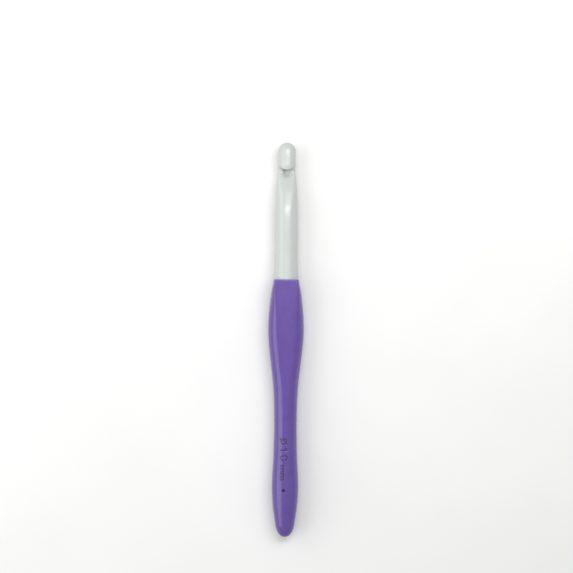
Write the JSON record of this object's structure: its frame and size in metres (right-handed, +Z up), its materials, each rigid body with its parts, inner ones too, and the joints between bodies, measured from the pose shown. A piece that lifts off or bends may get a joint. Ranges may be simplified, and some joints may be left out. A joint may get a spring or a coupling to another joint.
{
  "type": "crochet hook",
  "caption": "Large plastic crochet hook with a rounded head, slanted lip, tapered throat and parallel shaft in a soft contoured handle.",
  "frame": {"origin": "centre of the bounding box in X and Y, on the plane that the hook lies on", "axes": "+X along the hook from the handle's end to the tip of the head, +Z up out of the hook's mouth, +Y to the left when looking along +X"},
  "size_m": [0.1792, 0.0162, 0.0118],
  "materials": {
    "shaft_plastic": "pale grey rigid plastic with a satin sheen",
    "core_plastic": "plain grey moulded plastic, hidden inside the handle",
    "grip_rubber": "violet soft-touch elastomer, satin with a fine moulded grain"
  },
  "bodies": {
    "root": {"hook_shaft": "shaft_plastic", "handle_core": "core_plastic", "soft_grip": "grip_rubber"}
  },
  "joints": []
}
